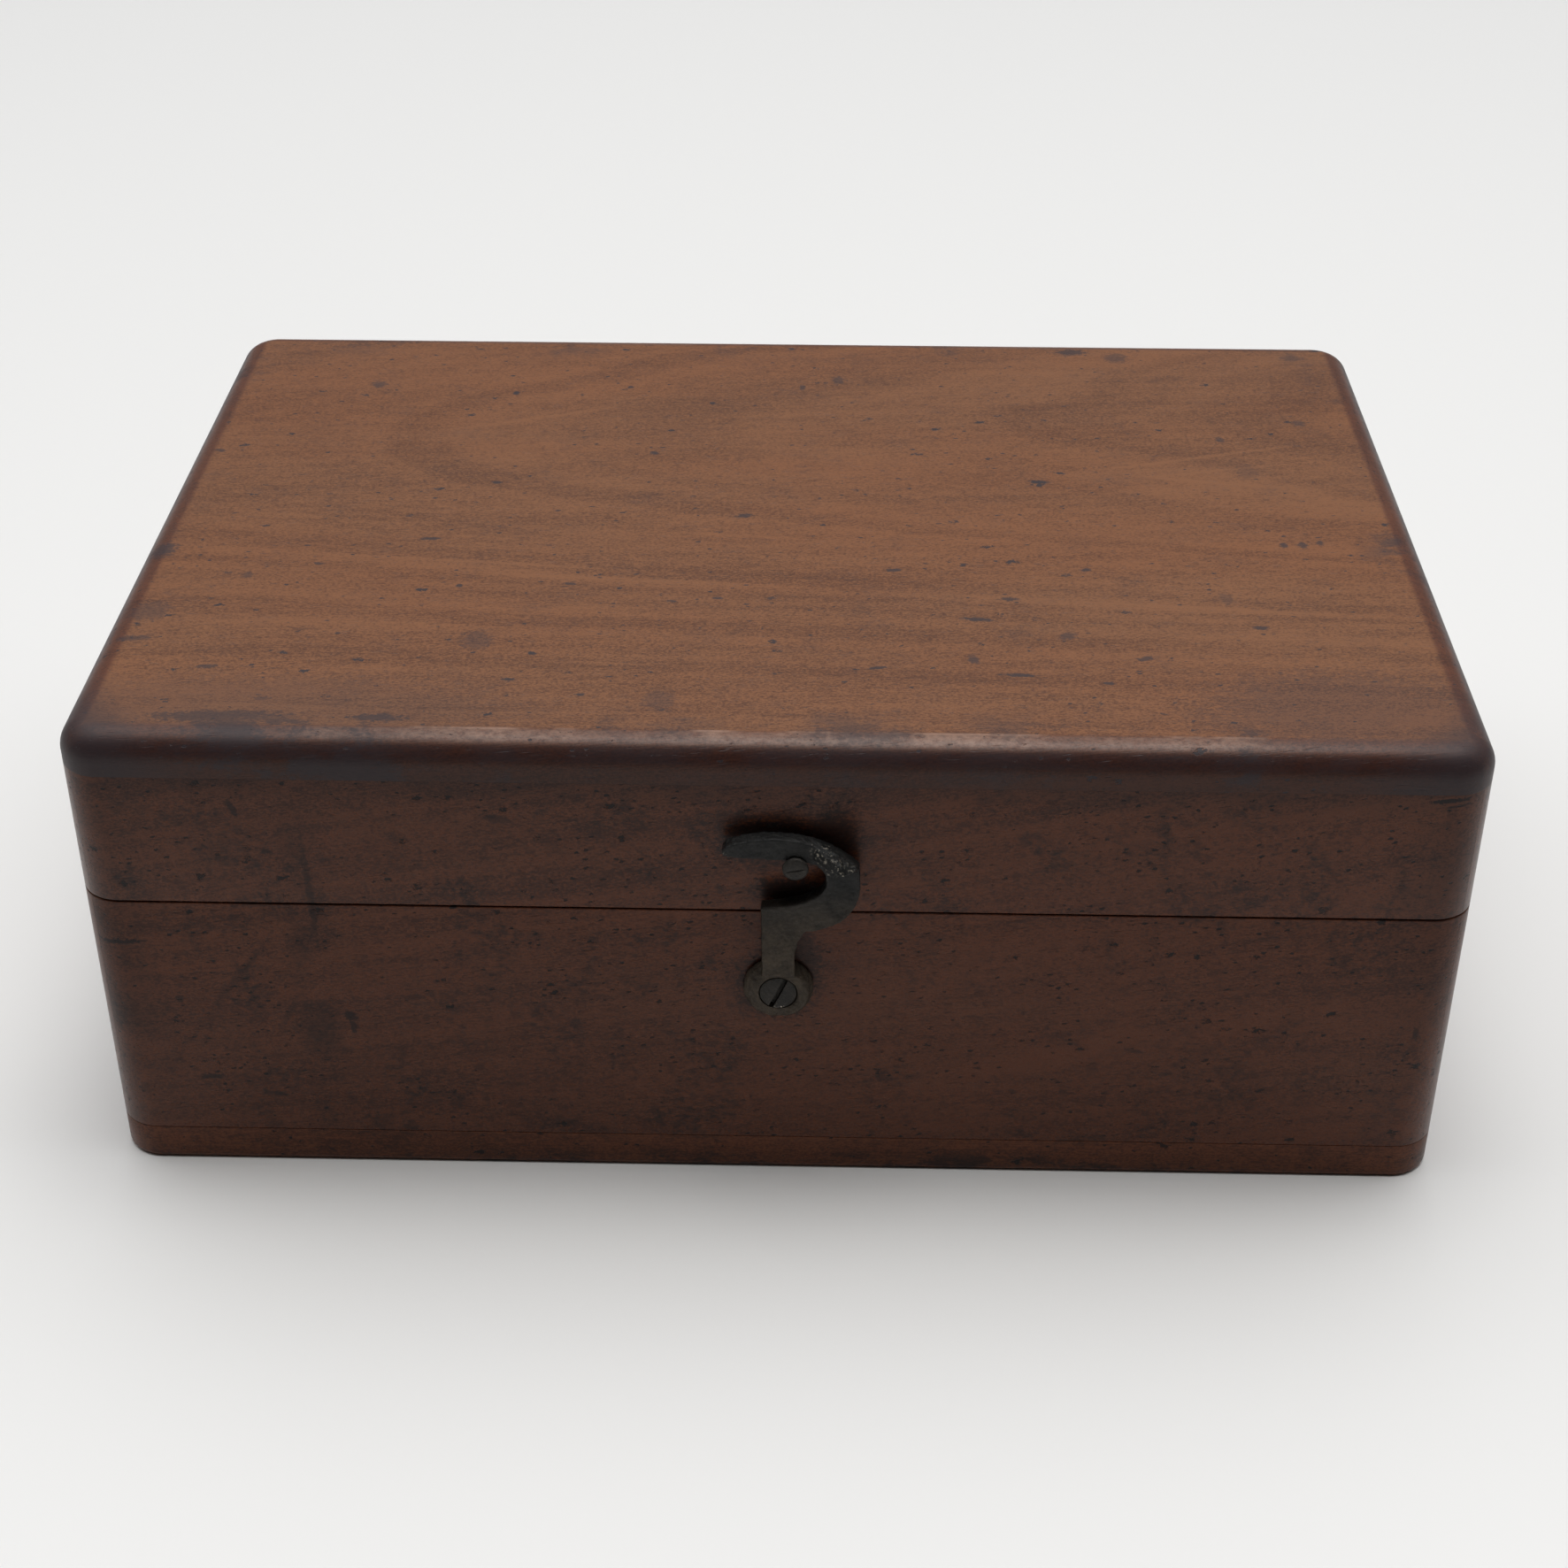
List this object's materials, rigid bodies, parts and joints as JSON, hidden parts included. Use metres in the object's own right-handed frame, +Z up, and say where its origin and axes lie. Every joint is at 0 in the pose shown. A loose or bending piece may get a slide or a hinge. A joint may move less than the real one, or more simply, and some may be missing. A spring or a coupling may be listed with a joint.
{
  "type": "tea caddy",
  "caption": "Rounded rectangular mahogany tea caddy with a hinged lid, a cast hook latch on the front, and lined compartments under loose knobbed inner lids.",
  "frame": {"origin": "centre of the flat underside", "axes": "+X along the box's width, -Y towards the front with the hook, +Z up towards the lid"},
  "size_m": [0.254, 0.1875, 0.0962],
  "materials": {
    "mahogany_top": "faded, worn satin polish",
    "mahogany_case": "dark red-brown worn satin polish",
    "mahogany_inside": "thin wax polish",
    "patinated_brass": "cast, dark olive-brown patina",
    "old_brass": "aged brass",
    "tinplate": "dull tinplate"
  },
  "bodies": {
    "base": {"base_front_board": "mahogany_case", "base_back_board": "mahogany_case", "base_left_board": "mahogany_case", "base_right_board": "mahogany_case", "bottom_board": "mahogany_case", "centre_partition": "mahogany_inside", "left_tin_liner": "tinplate", "right_tin_liner": "tinplate", "left_hinge_lower_leaf": "old_brass", "right_hinge_lower_leaf": "old_brass", "left_hinge_pin": "old_brass", "right_hinge_pin": "old_brass", "left_hinge_lower_screw_1": "old_brass", "left_hinge_lower_screw_2": "old_brass", "right_hinge_lower_screw_1": "old_brass", "right_hinge_lower_screw_2": "old_brass", "hook_pivot_screw": "patinated_brass"},
    "lid": {"lid_top_board": "mahogany_top", "lid_front_board": "mahogany_case", "lid_back_board": "mahogany_case", "lid_left_board": "mahogany_case", "lid_right_board": "mahogany_case", "left_hinge_upper_leaf": "old_brass", "right_hinge_upper_leaf": "old_brass", "left_hinge_upper_screw_1": "old_brass", "left_hinge_upper_screw_2": "old_brass", "right_hinge_upper_screw_1": "old_brass", "right_hinge_upper_screw_2": "old_brass", "catch_pin": "patinated_brass"},
    "hook": {"hook_latch": "patinated_brass"},
    "left_inner_lid_set": {"left_inner_lid": "mahogany_inside", "left_knob": "old_brass"},
    "right_inner_lid_set": {"right_inner_lid": "mahogany_inside", "right_knob": "old_brass"}
  },
  "joints": [
    {"name": "lid_hinge", "type": "hinge", "parent": "base", "child": "lid", "pos_m": [0, 0.0878, 0.0613], "axis": [-1, 0, 0], "range_deg": [0, 105]},
    {"name": "hook_swing", "type": "hinge", "parent": "base", "child": "hook", "pos_m": [0.001, -0.0893, 0.0447], "axis": [0, 1, 0], "range_deg": [0, 180]},
    {"name": "left_inner_lid_lift", "type": "slide", "parent": "base", "child": "left_inner_lid_set", "axis": [0, 0, 1], "range_m": [0, 0.02]},
    {"name": "right_inner_lid_lift", "type": "slide", "parent": "base", "child": "right_inner_lid_set", "axis": [0, 0, 1], "range_m": [0, 0.02]}
  ]
}
